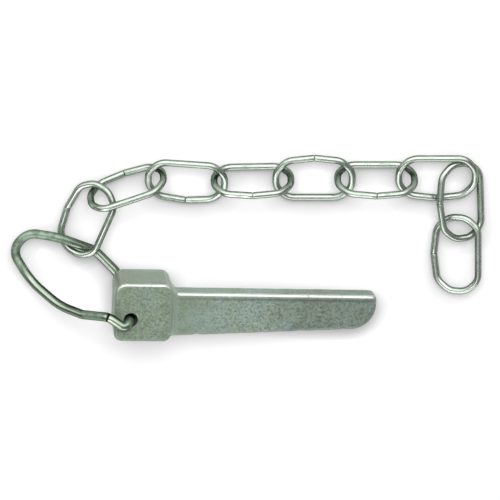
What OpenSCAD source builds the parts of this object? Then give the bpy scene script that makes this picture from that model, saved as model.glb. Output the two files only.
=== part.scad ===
// Flat tapered lynch pin with a retaining ring and nine loose chain links.
// Everything lies at rest on a level floor at z = 0, in millimetres: the pin along X with
// its head to the left, the ring round the head's left end and the chain beyond it.

/* [Pin head] */
// Length of the head along the pin
head_len = 23.5; // [20:0.5:32]
// Width of the head across the pin
head_wide = 24.5; // [22:0.5:30]
// Thickness of the head
head_thick = 24; // [18:0.5:28]
// Corner radius at the free end, on the step side
head_far_corner_r = 4.5; // [2:0.5:6]
// Corner radius at the free end, on the flush side
head_flush_corner_r = 2.8; // [2:0.1:6]
// Corner radius at the blade end
head_root_corner_r = 3.6; // [1.6:0.1:4.5]
// Rounding of the head's flat faces into its sides
head_edge_r = 1.2; // [0.6:0.1:1.5]

/* [Blade] */
// Overall length of the pin, head included
pin_len = 109; // [90:1:140]
// Width of the blade at the head
blade_wide = 19.1; // [16:0.1:21]
// Width of the blade at its tip
tip_wide = 14.5; // [13:0.1:16]
// Thickness of the blade
blade_thick = 10; // [6:0.5:12]
// Rounding of the blade's long edges
blade_edge_r = 1.6; // [0.8:0.1:2]
// Corner radius of the tip, on the straight edge
tip_sharp_r = 2.2; // [2.1:0.1:4]
// Corner radius of the tip, on the tapered edge
tip_round_r = 10; // [6:0.5:11]
// Size of the sloping fillet between blade and head
neck_size = 1.8; // [0.8:0.1:2.5]

/* [Hole] */
// Diameter of the hole through the head
hole_d = 5.6; // [5.2:0.1:6.5]
// Hole centre from the head's free end
hole_from_end = 6.7; // [6:0.1:9]
// Hole centre from the head's flush side
hole_from_side = 9.2; // [7.5:0.1:11]

/* [Ring] */
// Wire diameter of the ring
ring_wire = 3.8; // [3:0.1:4.2]
// Length of the ring's loop, from the hole to its far end
ring_len = 53; // [48:1:62]
// Width of the ring's loop between wire centres
ring_wide = 24; // [20:0.5:28]
// Bend radius where the wire leaves the hole
ring_elbow_r = 2.2; // [2.15:0.05:2.3]
// Direction of the loop away from the pin, in degrees
ring_heading = 148.5; // [145:0.5:152]
// Gap where the two ends of the wire meet, beside the head
join_gap = 0.3; // [0.2:0.05:0.5]

/* [Chain] */
// Outside length of a link
link_len = 34.2; // [32:0.2:38]
// Outside width of a link
link_wide = 20.2; // [19.6:0.2:21.6]
// Wire diameter of the links
link_wire = 2.8; // [2.4:0.1:3]
// Half of the straight stretch across a link's end
crown_half = 3.5; // [3:0.1:4]
// Length over which a leg turns into the end
corner_run = 4.6; // [4.2:0.1:5.4]
// Gap of the butt joint in each link
butt_gap = 0.2; // [0.1:0.05:0.6]
// How far the leg bows out at the butt joint
butt_bow = 1.3; // [0.6:0.1:1.6]

/* [Lie] */
// Clearance between pieces that rest on each other
seat = 0.3; // [0.2:0.05:0.5]
// Turn of the pin in plan, in degrees
pin_turn = -2.7; // [-4:0.1:2]

/* [Hidden] */
$fn = 32;

// How deep the blade is rooted in the head, how far it stands in from the head's flush side,
// and how far the rounding of its tapered edge stands out of that edge's side.
blade_root = 4;
blade_inset = 0;
taper_ease = 0.05;

// Place of the hole's centre on the floor plan.
hole_at_x = -50;
hole_at_y = -28;

// How the wire lies in the hole, off its centre.
wire_off_x = -0.5;
wire_off_y = -0.4;

// The short rod out of the hole: how far it climbs before its elbow, the elbow's way towards
// the head's lower left corner, and how high over the head it runs there and at the join.
rod_climb = 1.3;
rod_away_x = 2.2;
rod_away_y = 1.9;
rod_over = 1;
join_over = 0.3;

// The join: how far beyond the head's free end, how far inwards from the hole, and its bend.
join_out = 2.5;
join_in = 1.9;
join_bend_r = 4;

// The loop's outer side: a sharp kink, a shoulder and the far bow. Each stands so far along
// the loop and so far in from its side, at a height, and all are bent at a radius.
kink_along = 15.5;
kink_in = 3.7;
kink_high = 23.5;
kink_bend_r = 5;
shoulder_along = 24.8;
shoulder_out = 0.2;
shoulder_high = 16;
bow_back = 13.1;
bow_in = 0.5;
bow_high = 8;
bow_bend_r = 25;

// The loop's far end: two corners, the second one standing back.
end_aside = 4.9;
end_high = 5;
end_bend_r = 6.5;
turn_back = 2.2;
turn_aside = 5.3;
turn_drop = 1;
turn_bend_r = 8;

// The loop's inner side rises over the first link's leg and sinks to the floor beside it, and
// so runs back under the head.
hump_clear = 2.2;
hook_back = 13.8;
hook_in = 1.7;
hook_bend_r = 20;
sink_along = 23.3;
sink_out = 0.1;
sink_bend_r = 12;
foot_along = 10.6;
foot_in = 3.3;
foot_bend_r = 8;
under_bend_r = 3;

// Where the first link hangs: how far down the slope of the inner side, and its extra room.
hook_slide = 8;
hook_room = 0.2;

// Where wire is bent, the bend is this much thinner than the straight and laps into it,
// so that the two meet on a clean round edge.
bend_ease = 0.08;
bend_lap = 0.15;

// Bend radii of a link: where the end meets the corner, and where the corner meets the leg.
crown_bend_r = 7;
corner_bend_r = 6.5;

// How each link lies: heading in plan, roll about its length, rise of its far end (degrees),
// the side of its butt joint (1 left, -1 right), how far past the wire it reaches into the
// link before, and its shift to the left of it (mm). The chain is slack, so links lie loose.
LIE = [
    [66, -21, 8, 1, 0, 0],
    [19, -64, 0, 1, 4.1, -0.8],
    [-4, 25, 0, -1, 3.6, -1.4],
    [1, -64, 0, -1, 1.4, 1.9],
    [0, 18, 0, 1, 3.3, -1],
    [0, -60, 0, -1, 3.4, 1.1],
    [0, 18, 0, -1, 3.3, -0.1],
    [-87, -22, 2, -1, 8.6, -0.2],
    [-88.5, 17, 1, -1, 5.7, -2]
];

ring_r = ring_wire / 2;
link_r = link_wire / 2;
half_len = link_len / 2 - link_r;
half_wide = link_wide / 2 - link_r;

// The blade lies midway in the head's thickness.
step = (head_thick - blade_thick) / 2;

// The ring's wire passes under the head and the blade's tip lies on the floor, which
// pitches the pin.
lift = ring_wire + seat;
tip_run = pin_len - hole_from_end;
pin_pitch = atan2(step, tip_run) + asin(lift / norm([step, tip_run]));

// ---- vectors ----

function unit(v) = v / norm(v);
function plan(angle) = [cos(angle), sin(angle)];
function left_of(v) = [-v.y, v.x];
function spin(v, angle) = v.x * plan(angle) + v.y * left_of(plan(angle));

// A point of the pin, in its own frame, as it lies on the floor.
function lay(p) =
    let (
        x = p.x - hole_from_end,
        run = x * cos(pin_pitch) + p.z * sin(pin_pitch),
        rise = p.z * cos(pin_pitch) - x * sin(pin_pitch),
        at = spin([run, p.y - hole_from_side], pin_turn)
    )
    [hole_at_x + at.x, hole_at_y + at.y, lift + rise];

// ---- bent wire ----

function half_angle(a, b, c) = acos(unit(a - b) * unit(c - b)) / 2;
function bend_cut(a, b, c, r) = r / tan(half_angle(a, b, c));

module wire_straight(a, b, d) {
    way = unit(b - a);
    translate(a) rotate([0, acos(way.z), atan2(way.y, way.x)]) cylinder(h = norm(b - a), d = d);
}

// The bend at b, on the way from a to c.
module wire_bend(a, b, c, r, d) {
    to_a = unit(a - b);
    to_c = unit(c - b);
    half = half_angle(a, b, c);
    centre = b + unit(to_a + to_c) * r / sin(half);
    x_way = unit(b + to_a * r / tan(half) - centre);
    z_way = unit(cross(to_a, to_c));
    y_way = cross(z_way, x_way);
    turn = 180 - 2 * half;
    over = bend_lap / r * 180 / PI;
    multmatrix([
        [x_way.x, y_way.x, z_way.x, centre.x],
        [x_way.y, y_way.y, z_way.y, centre.y],
        [x_way.z, y_way.z, z_way.z, centre.z],
        [0, 0, 0, 1]
    ])
        rotate([0, 0, -turn - over])
            rotate_extrude(angle = turn + 2 * over) translate([r, 0]) circle(d = d - bend_ease);
}

// Wire through the points, each a place and a bend radius, closed into a loop or with two ends.
module bent_wire(stops, d, closed) {
    n = len(stops);
    function place(i) = stops[(i + n) % n][0];
    function is_end(i) = !closed && (i == 0 || i == n - 1);
    cuts = [
        for (i = [0:n - 1])
            is_end(i) ? 0 : bend_cut(place(i - 1), place(i), place(i + 1), stops[i][1])
    ];
    for (i = [0:closed ? n - 1 : n - 2]) {
        way = unit(place(i + 1) - place(i));
        wire_straight(place(i) + way * cuts[i], place(i + 1) - way * cuts[(i + 1) % n], d);
    }
    for (i = [0:n - 1])
        if (!is_end(i)) wire_bend(place(i - 1), place(i), place(i + 1), stops[i][1], d);
}

// ---- pin ----

// A rectangle from the origin with its corners rounded, at any four radii, from the
// nearest corner round to the one above it.
module rounded(size, radii) {
    at = [
        [radii[0], radii[0]],
        [size.x - radii[1], radii[1]],
        [size.x - radii[2], size.y - radii[2]],
        [radii[3], size.y - radii[3]]
    ];
    polygon([
        [radii[0], 0], [size.x - radii[1], 0], at[1], [size.x, radii[1]],
        [size.x, size.y - radii[2]], at[2], [size.x - radii[2], size.y],
        [radii[3], size.y], at[3], [0, size.y - radii[3]], [0, radii[0]], at[0]
    ]);
    for (i = [0:3]) translate(at[i]) circle(r = radii[i]);
}

// The same outline pushed along X, Y or Z.
module along_x(length) { rotate([90, 0, 90]) linear_extrude(length) children(); }
module along_y(length) { translate([0, length, 0]) rotate([90, 0, 0]) linear_extrude(length) children(); }

module head_block() {
    edges = [for (i = [0:3]) head_edge_r];
    corners = [head_flush_corner_r, head_root_corner_r, head_root_corner_r, head_far_corner_r];
    intersection() {
        linear_extrude(head_thick) rounded([head_len, head_wide], corners);
        along_y(head_wide) rounded([head_len, head_thick], edges);
        along_x(head_len) rounded([head_wide, head_thick], edges);
    }
}

// Where the blade starts, inside the head, its straight side, and its taper.
root_x = head_len - blade_root;
blade_top = blade_inset + blade_wide;
taper = (blade_wide - tip_wide) / (pin_len - head_len);

// The blade grows out of the middle of the head. Its lower edge tapers to the tip.
module blade() {
    edges = [for (i = [0:3]) blade_edge_r];
    blade_len = pin_len - root_x;
    intersection() {
        translate([root_x, 0, step]) linear_extrude(blade_thick) blade_plan();
        translate([root_x, blade_top - 2 * blade_wide, step])
            along_x(blade_len) rounded([2 * blade_wide, blade_thick], edges);
        translate([head_len, blade_inset - taper_ease, step])
            rotate([0, 0, atan(taper)])
                translate([-blade_len, 0, 0])
                    along_x(3 * blade_len) rounded([2 * blade_wide, blade_thick], edges);
        translate([root_x - blade_len, -1, step])
            along_y(blade_top + 2) rounded([2 * blade_len, blade_thick], edges);
    }
}

module blade_plan() {
    length = pin_len - root_x;
    tip_low = blade_top - tip_wide;
    round_at = [length - tip_round_r, tip_low + tip_round_r];
    sharp_at = [length - tip_sharp_r, blade_top - tip_sharp_r];
    touch = round_at + tip_round_r * unit([taper, -1]);
    polygon([
        [0, blade_inset - taper * blade_root], touch, round_at, [length, round_at.y],
        [length, sharp_at.y], sharp_at, [sharp_at.x, blade_top], [0, blade_top]
    ]);
    translate(round_at) circle(r = tip_round_r);
    translate(sharp_at) circle(r = tip_sharp_r);
}

// One sloping fillet along the foot of the blade, pushed along Z over a length.
module foot_slope(length) {
    root = neck_size / 2;
    linear_extrude(length)
        polygon([[-root, -root], [neck_size, -root], [neck_size, 0], [0, neck_size], [-root, neck_size]]);
}

module neck() {
    inset = blade_edge_r;
    translate([head_len, blade_top, step + inset]) foot_slope(blade_thick - 2 * inset);
    translate([head_len, blade_top - inset, step + blade_thick])
        rotate([90, 0, 0]) foot_slope(blade_wide - 2 * inset);
    translate([head_len, inset, step])
        rotate([-90, 0, 0]) foot_slope(blade_wide - 2 * inset);
}

module pin() {
    color("darkseagreen")
        translate([hole_at_x, hole_at_y, lift])
            rotate([0, pin_pitch, pin_turn])
                translate([-hole_from_end, -hole_from_side, 0])
                    difference() {
                        union() {
                            head_block();
                            blade();
                            neck();
                        }
                        translate([hole_from_end, hole_from_side, -1])
                            cylinder(h = head_thick + 2, d = hole_d);
                    }
}

// ---- ring ----

// A point of the loop: so far along it, so far to its left side, at height z.
function loop_at(along, aside, z) =
    let (at = spin([along, aside], ring_heading))
    [hole_at_x + at.x, hole_at_y + at.y, z];

// Middle of the wire in the hole, and its clear height over or under the head.
wire_x = hole_from_end + wire_off_x;
wire_y = hole_from_side + wire_off_y;
clear_z = ring_r + seat;
over_z = head_thick + clear_z;
half_ring = ring_wide / 2;

// The stops that the join and the first link's place are worked out from.
elbow = lay([wire_x - rod_away_x, wire_y - rod_away_y, over_z + rod_over]);
join = lay([-join_out, hole_from_side + join_in, over_z + join_over]);
kink = loop_at(kink_along, half_ring - kink_in, kink_high);
hump_z = link_wire + ring_r + hump_clear;
hook_start = loop_at(ring_len - hook_back, -half_ring + hook_in, hump_z);
hook_end = loop_at(sink_along, -half_ring - sink_out, ring_r);

RING_STOPS = [
    [lay([wire_x, wire_y, head_thick + rod_climb]), ring_elbow_r],
    [elbow, ring_elbow_r],
    [join, join_bend_r],
    [kink, kink_bend_r],
    [loop_at(shoulder_along, half_ring + shoulder_out, shoulder_high), bow_bend_r],
    [loop_at(ring_len - bow_back, half_ring - bow_in, bow_high), bow_bend_r],
    [loop_at(ring_len, end_aside, end_high), end_bend_r],
    [loop_at(ring_len - turn_back, -turn_aside, hump_z - turn_drop), turn_bend_r],
    [hook_start, hook_bend_r],
    [hook_end, sink_bend_r],
    [loop_at(foot_along, -half_ring + foot_in, ring_r), foot_bend_r],
    [lay([wire_x, wire_y, -clear_z]), under_bend_r]
];

// The wire's two ends meet in the bend at the join, cut on its mitre.
join_way = unit(unit(kink - join) - unit(elbow - join));

module ring() {
    half_gap = join_way * join_gap / 2;
    color("silver")
        difference() {
            bent_wire(RING_STOPS, ring_wire, true);
            wire_straight(join - half_gap, join + half_gap, 2 * ring_wire);
        }
}

// ---- chain ----

// The wire's square-cut ends lean with the bow, so their middles stand back from the gap.
butt_x = butt_gap / 2 + link_r * sin(atan2(butt_bow, half_len - corner_run));

// Half of an open link from its butt joint to the middle of the far leg: side 1 is towards +X.
function link_side(side) = [
    [[side * butt_x, half_wide + butt_bow, 0], 0],
    [[side * (half_len - corner_run), half_wide, 0], corner_bend_r],
    [[side * half_len, crown_half, 0], crown_bend_r],
    [[side * half_len, -crown_half, 0], crown_bend_r],
    [[side * (half_len - corner_run), -half_wide, 0], corner_bend_r]
];

LINK_STOPS = [
    for (stop = link_side(1)) stop,
    for (i = [4:-1:0]) link_side(-1)[i]
];

// Depth of a tilted link below its middle, at the lowest of the wire's bends and its butt.
function link_sink(lie) =
    let (side = lie[3])
    max([
        for (stop = LINK_STOPS)
            -stop[0].x * sin(lie[2]) - side * stop[0].y * sin(lie[1]) * cos(lie[2])
    ]);

// Middles of the links in plan. The first holds the ring's wire in its near end, and each
// next one reaches into the one before.
hook_way = unit([hook_end.x - hook_start.x, hook_end.y - hook_start.y]);
hook_mid = [hook_start.x, hook_start.y] + hook_way * hook_slide;
first_end = hook_mid - left_of(hook_way) * (ring_r + link_r + seat + hook_room);
first_at = first_end + plan(LIE[0][0]) * half_len * cos(LIE[0][2]);

function next_at(at, i) =
    let (
        before = plan(LIE[i - 1][0]),
        way = plan(LIE[i][0]),
        reach = link_wire + LIE[i][4]
    )
    at + (before + way) * (half_len - reach / 2) + left_of(way) * LIE[i][5];

function link_at(i) = i == 0 ? first_at : next_at(link_at(i - 1), i);

module link(i) {
    lie = LIE[i];
    at = link_at(i);
    color("lightgray")
        translate([at.x, at.y, link_r + link_sink(lie)])
            rotate([lie[1], -lie[2], lie[0]])
                mirror([0, lie[3] < 0 ? 1 : 0, 0])
                    bent_wire(LINK_STOPS, link_wire, false);
}

pin();
ring();
link(0);  // link_1
link(1);  // link_2
link(2);  // link_3
link(3);  // link_4
link(4);  // link_5
link(5);  // link_6
link(6);  // link_7
link(7);  // link_8
link(8);  // link_9
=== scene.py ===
"""Dresses a flat tapered lynch pin, its retaining ring and its tether of open chain links.

The pin lies on a level floor along X with its head to the left. The ring is threaded through
the head, the first link hangs on the ring, and the others follow it in a loose row.
Lengths in the dataclasses are in millimetres, and the finished meshes are in metres.
"""

from __future__ import annotations

import logging
import math
from dataclasses import dataclass, field
from enum import Enum
from typing import Any, Iterable, Sequence

import bmesh
import bpy
from mathutils import Matrix, Vector, noise

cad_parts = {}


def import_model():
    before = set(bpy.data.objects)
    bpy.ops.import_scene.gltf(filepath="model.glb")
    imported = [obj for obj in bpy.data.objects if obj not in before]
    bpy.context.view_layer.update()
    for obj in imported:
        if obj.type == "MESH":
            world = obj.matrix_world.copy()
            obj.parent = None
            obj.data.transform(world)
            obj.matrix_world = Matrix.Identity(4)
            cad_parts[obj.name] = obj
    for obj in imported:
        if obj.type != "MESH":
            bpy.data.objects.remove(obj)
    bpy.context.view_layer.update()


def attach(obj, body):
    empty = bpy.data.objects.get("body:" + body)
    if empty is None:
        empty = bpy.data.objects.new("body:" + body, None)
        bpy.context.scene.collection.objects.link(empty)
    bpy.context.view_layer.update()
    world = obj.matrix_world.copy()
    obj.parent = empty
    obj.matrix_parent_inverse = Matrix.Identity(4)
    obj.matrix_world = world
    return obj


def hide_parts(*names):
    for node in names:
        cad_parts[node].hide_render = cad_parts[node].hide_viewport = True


MM = 0.001
LOG = logging.getLogger("lynch_pin")

# Painted shade darkens each piece round its flanks, which turn away from its upper side: the
# heights of the unit normal between which the painted shade sets in and is full.
UNSHADED_DOWN_TO = 0.90
FULLY_SHADED_FROM = 0.50

# Two places this close together, in millimetres, count as one.
TOUCHING = 0.01

# A piece's seed shifts its unevenness across by this many times as much as along.
SEED_SKEW = 1.7

# A face looks along an axis where its unit normal has more than this of it.
FACING = 0.9

# Share of its reach within which a spot on a finish keeps its full strength.
FULL_WITHIN = 0.6

Colour = tuple[float, float, float]
Span = tuple[float, float]
Edges = list[bmesh.types.BMEdge]

# ---- the lie of the pieces ----


class Side(Enum):
    """The side of a link, seen along it, on which its butt joint lies."""

    LEFT = 1
    RIGHT = -1


@dataclass(frozen=True)
class Lie:
    """How one link lies.

    heading, roll and rise are in degrees, and joint is the side of its butt joint. reach is how
    far past the wire it reaches into the link before, and shift is its offset to the left.
    """

    heading: float
    roll: float
    rise: float
    joint: Side
    reach: float
    shift: float


# From the ring to the free end: heading, roll, rise, joint, reach and shift.
CHAIN_LIE = (
    Lie(66, -21, 8, Side.LEFT, 0, 0),
    Lie(19, -64, 0, Side.LEFT, 4.1, -0.8),
    Lie(-4, 25, 0, Side.RIGHT, 3.6, -1.4),
    Lie(1, -64, 0, Side.RIGHT, 1.4, 1.9),
    Lie(0, 18, 0, Side.LEFT, 3.3, -1),
    Lie(0, -60, 0, Side.RIGHT, 3.4, 1.1),
    Lie(0, 18, 0, Side.RIGHT, 3.3, -0.1),
    Lie(-87, -22, 2, Side.RIGHT, 8.6, -0.2),
    Lie(-88.5, 17, 1, Side.RIGHT, 5.7, -2),
)


def heading(angle: float) -> Vector:
    """Returns the level unit vector at an angle in degrees from +X."""
    return Vector((math.cos(math.radians(angle)), math.sin(math.radians(angle)), 0))


def left_of(way: Vector) -> Vector:
    """Returns the level vector a quarter turn to the left of another."""
    return Vector((-way.y, way.x, 0))


@dataclass(frozen=True)
class Stop:
    """A corner on a wire's way: its place and the radius it is bent to."""

    at: Vector
    bend: float = 0.0


@dataclass(frozen=True)
class PinSize:
    """Sizes of the pin, its blade and the hole through its head.

    head is the head's thickness. At the head's end, flush_corner is on the side that the blade
    starts flush with, and far_corner on the other; root_corner is for the two at the blade.
    The blade tapers from blade_wide to tip_wide, with its corners rounded to tip_round on the
    tapered side and tip_sharp on the straight one. neck is the leg of the sloping collar round
    the blade's root.
    """

    head: float = 24.0
    head_long: float = 23.5
    head_wide: float = 24.5
    far_corner: float = 4.5
    flush_corner: float = 2.8
    root_corner: float = 3.6
    head_edge: float = 1.2
    length: float = 109.0
    blade_wide: float = 19.1
    blade_inset: float = 0.0
    tip_wide: float = 14.5
    blade_thick: float = 10.0
    blade_edge: float = 1.7
    tip_sharp: float = 2.2
    tip_round: float = 10.0
    neck: float = 1.8
    hole: float = 5.6
    hole_from_end: float = 6.7
    hole_from_side: float = 9.2

    @property
    def step(self) -> float:
        """How far the blade's faces lie below the head's."""
        return (self.head - self.blade_thick) / 2

    @property
    def blade_top(self) -> float:
        """Place of the blade's straight side across the pin."""
        return self.blade_inset + self.blade_wide


@dataclass(frozen=True)
class RingSize:
    """Sizes of the ring's wire, its loose bow and its run through the head.

    The elbow is the turn of the wire over the hole, elbow_over above the head, from where it
    runs on by elbow_run and elbow_rise. The join is the corner beside the head in which its two
    ends meet. It lies join_out beyond the head's end, join_aside of the hole and join_over
    clear of the head, and join_slack eases its bend for the gap. The hump is where the wire
    passes over the first link, by hump_over more than it must.
    """

    wire: float = 3.8
    length: float = 53.0
    wide: float = 24.0
    heading: float = 148.5
    elbow_bend: float = 2.2
    elbow_over: float = 1.3
    elbow_run: tuple[float, float] = (2.2, 1.9)
    elbow_rise: float = 1.0
    join_out: float = 2.5
    join_aside: float = 1.9
    join_over: float = 0.3
    join_gap: float = 0.3
    join_bend: float = 4.0
    join_slack: float = 1.2
    hump_over: float = 2.2


@dataclass(frozen=True)
class LinkSize:
    """Sizes of a chain link and of the way in which the first one hangs on the ring.

    Each end, or crown, has a straight of twice crown_half, and slopes to the long sides over
    corner_run. The two ends of the wire butt in the middle of a long side, which bows out there
    by butt_bow. The first link hangs hang_along down the ring's straight stretch, with hang_off
    more air than the others have.
    """

    wire: float = 2.8
    length: float = 34.2
    wide: float = 20.2
    crown_half: float = 3.5
    corner_run: float = 4.6
    butt_gap: float = 0.12
    butt_bow: float = 1.3
    crown_bend: float = 7.0
    corner_bend: float = 6.5
    hang_along: float = 8.0
    hang_off: float = 0.2


@dataclass(frozen=True)
class Layout:
    """Places every piece on the floor, in the way that the solids lie.

    hole_at is the lower end of the head's hole in plan, pin_turn is the pin's turn in degrees,
    and wire_off is how far the ring's wire runs from the middle of the hole. seat is the air
    between two pieces that rest on each other.
    """

    pin: PinSize = field(default_factory=PinSize)
    ring: RingSize = field(default_factory=RingSize)
    link: LinkSize = field(default_factory=LinkSize)
    hole_at: tuple[float, float] = (-50.0, -28.0)
    pin_turn: float = -2.7
    wire_off: tuple[float, float] = (-0.5, -0.4)
    seat: float = 0.3

    @property
    def lift(self) -> float:
        """Height of the head's lower left edge, which rests on the ring's wire."""
        return self.ring.wire + self.seat

    @property
    def pin_frame(self) -> Matrix:
        """The move from the pin's own frame to the floor's, in millimetres."""
        run = self.pin.length - self.pin.hole_from_end
        pitch = math.atan2(self.pin.step, run)
        pitch += math.asin(self.lift / math.hypot(self.pin.step, run))
        turn = Matrix.Rotation(math.radians(self.pin_turn), 4, "Z")
        place = Matrix.Translation((*self.hole_at, self.lift))
        hole = Matrix.Translation((-self.pin.hole_from_end, -self.pin.hole_from_side, 0))
        return place @ turn @ Matrix.Rotation(pitch, 4, "Y") @ hole

    def lay(self, x: float, y: float, z: float) -> Vector:
        """Returns a point of the pin's own frame as it lies on the floor."""
        return self.pin_frame @ Vector((x, y, z))

    def loop_at(self, along: float, aside: float, height: float) -> Vector:
        """Returns a point of the ring's loop.

        Args:
            along: how far it lies from the hole along the loop.
            aside: how far it lies to the loop's left side.
            height: its height over the floor.

        Returns:
            The point in the floor's frame.
        """
        way = heading(self.ring.heading)
        level = way * along + left_of(way) * aside
        return Vector((self.hole_at[0] + level.x, self.hole_at[1] + level.y, height))

    def loop_stop(self, along: float, aside: float, height: float, bend: float) -> Stop:
        """Returns a corner of the ring's loop, as loop_at places it, bent to a radius."""
        return Stop(self.loop_at(along, aside, height), bend)

    @property
    def hook(self) -> tuple[Vector, Vector]:
        """Both ends of the straight stretch that the first link hangs on."""
        ring = self.ring
        half = ring.wide / 2
        start = self.loop_at(along=ring.length - 13.8, aside=1.7 - half, height=self.hump)
        return start, self.loop_at(along=23.3, aside=-half - 0.1, height=ring.wire / 2)

    @property
    def hump(self) -> float:
        """Height at which the ring passes over the first link."""
        return self.link.wire + self.ring.wire / 2 + self.ring.hump_over

    @property
    def kink(self) -> Vector:
        """Corner between the ring's dull stretch and its long front run."""
        return self.loop_at(along=15.5, aside=self.ring.wide / 2 - 3.7, height=23.5)

    @property
    def knee(self) -> Vector:
        """Middle of the ring's dull stretch, between the join and the kink."""
        return (self.join + self.kink) / 2

    @property
    def bore_at(self) -> tuple[float, float]:
        """Where the ring's wire runs in the head's hole, in the pin's own plan."""
        pin, off = self.pin, self.wire_off
        return pin.hole_from_end + off[0], pin.hole_from_side + off[1]

    @property
    def elbow(self) -> Vector:
        """Where the ring's wire turns down into the head's hole."""
        return self.lay(*self.bore_at, self.pin.head + self.ring.elbow_over)

    @property
    def join(self) -> Vector:
        """Corner beside the head in which the two ends of the ring's wire meet."""
        ring, pin = self.ring, self.pin
        over = pin.head + ring.wire / 2 + self.seat + ring.join_over
        return self.lay(-ring.join_out, pin.hole_from_side + ring.join_aside, over)

    def ring_stops(self) -> list[Stop]:
        """Works out the ring's corners, from one end of its wire round to the other.

        Returns:
            The corners in the floor's frame. The first and the last are its two ends.
        """
        pin, ring = self.pin, self.ring
        radius, half = ring.wire / 2, ring.wide / 2
        clear = radius + self.seat
        x, y = self.bore_at
        hook_start, hook_end = self.hook
        after = self.lay(
            x - ring.elbow_run[0], y - ring.elbow_run[1], pin.head + clear + ring.elbow_rise
        )
        out, back = (self.kink - self.join).normalized(), (after - self.join).normalized()
        way = (out - back).normalized()
        half_turn = way.angle(out)
        sag = ring.join_bend * (1 / math.cos(half_turn) - 1)
        middle = self.join + (out + back).normalized() * sag
        reach = ring.join_bend * math.tan(half_turn / 2)
        cut = ring.join_gap / 2
        bend = ring.join_bend * (1 - ring.join_slack * cut / reach)
        return [
            Stop(middle + way * cut),
            Stop(middle + way * reach, bend),
            Stop(self.kink, bend=5),
            self.loop_stop(along=24.8, aside=half + 0.2, height=16, bend=25),
            self.loop_stop(along=ring.length - 13.1, aside=half - 0.5, height=8, bend=25),
            self.loop_stop(along=ring.length, aside=4.9, height=5, bend=6.5),
            self.loop_stop(along=ring.length - 2.2, aside=-5.3, height=self.hump - 1, bend=8),
            Stop(hook_start, bend=20),
            Stop(hook_end, bend=12),
            self.loop_stop(along=10.6, aside=3.3 - half, height=radius, bend=8),
            Stop(self.lay(x, y, -clear), bend=3),
            Stop(self.elbow, ring.elbow_bend),
            Stop(after, ring.elbow_bend),
            Stop(middle - way * reach, bend),
            Stop(middle - way * cut),
        ]

    def link_stops(self) -> list[Stop]:
        """Works out a link's corners, from one end of its wire round to the other.

        Returns:
            The corners in the link's own frame. The first and the last are its two ends.
        """
        link = self.link
        radius = link.wire / 2
        half_long = link.length / 2 - radius
        half_wide = link.wide / 2 - radius
        lean = math.atan2(link.butt_bow, half_long - link.corner_run)
        butt = link.butt_gap / 2 + radius * math.sin(lean)
        right = [
            (butt, half_wide + link.butt_bow, 0.0),
            (half_long - link.corner_run, half_wide, link.corner_bend),
            (half_long, link.crown_half, link.crown_bend),
            (half_long, -link.crown_half, link.crown_bend),
            (half_long - link.corner_run, -half_wide, link.corner_bend),
        ]
        left = [(-x, y, bend) for x, y, bend in reversed(right)]
        return [Stop(Vector((x, y, 0)), bend) for x, y, bend in right + left]

    def _link_turn(self, lie: Lie) -> Matrix:
        """Turns a link from its own frame to the way it lies.

        Args:
            lie: how it lies.

        Returns:
            The turn, which mirrors the link where its joint is on the right.
        """
        return (
            Matrix.Rotation(math.radians(lie.heading), 4, "Z")
            @ Matrix.Rotation(math.radians(-lie.rise), 4, "Y")
            @ Matrix.Rotation(math.radians(lie.roll), 4, "X")
            @ Matrix.Diagonal((1, lie.joint.value, 1, 1))
        )

    def link_frames(self) -> list[Matrix]:
        """Lays the links down one after the other, from the ring on.

        Returns:
            The move of each link from its own frame to the floor's.
        """
        link = self.link
        half_long = (link.length - link.wire) / 2
        start, end = self.hook
        way = Vector((end.x - start.x, end.y - start.y, 0)).normalized()
        off = (self.ring.wire + link.wire) / 2 + self.seat + link.hang_off
        at = Vector((start.x, start.y, 0)) + way * link.hang_along - left_of(way) * off
        frames: list[Matrix] = []
        before: Vector | None = None
        for lie in CHAIN_LIE:
            ahead = heading(lie.heading)
            if before is None:
                at = at + ahead * half_long * math.cos(math.radians(lie.rise))
            else:
                reach = link.wire + lie.reach
                at = at + (before + ahead) * (half_long - reach / 2) + left_of(ahead) * lie.shift
            before = ahead
            turn = self._link_turn(lie)
            sink = max(-(turn @ stop.at).z for stop in self.link_stops())
            frames.append(Matrix.Translation((at.x, at.y, link.wire / 2 + sink)) @ turn)
        return frames


# ---- mesh making ----


def to_metres(mesh: bmesh.types.BMesh) -> None:
    """Scales a mesh in millimetres to metres and shades it smooth.

    Args:
        mesh: the mesh to change.
    """
    bmesh.ops.scale(mesh, vec=(MM,) * 3, verts=mesh.verts[:])
    for face in mesh.faces:
        face.smooth = True


def finish_mesh(name: str, mesh: bmesh.types.BMesh) -> bpy.types.Object:
    """Turns a mesh in millimetres into a smooth object in metres at the origin.

    Args:
        name: name of the new object.
        mesh: the mesh, which is freed.

    Returns:
        The object, linked to the scene.
    """
    to_metres(mesh)
    data = bpy.data.meshes.new(name)
    mesh.to_mesh(data)
    mesh.free()
    made = bpy.data.objects.new(name, data)
    bpy.context.scene.collection.objects.link(made)
    return made


def apply_modifiers(made: bpy.types.Object) -> None:
    """Replaces an object's mesh by its evaluated one and drops the modifiers.

    Args:
        made: the object.
    """
    graph = bpy.context.evaluated_depsgraph_get()
    graph.update()
    data = bpy.data.meshes.new_from_object(made.evaluated_get(graph))
    made.modifiers.clear()
    made.data = data


def round_edges(mesh: bmesh.types.BMesh, edges: Iterable, radius: float, steps: int) -> None:
    """Rounds edges of a mesh.

    Args:
        mesh: the mesh to change.
        edges: its edges to round.
        radius: radius of the rounding.
        steps: number of facets across it.
    """
    bmesh.ops.bevel(
        mesh, geom=list(edges), offset=radius, offset_type="OFFSET", segments=steps,
        profile=0.5, affect="EDGES", material=-1, clamp_overlap=True,
    )


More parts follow.
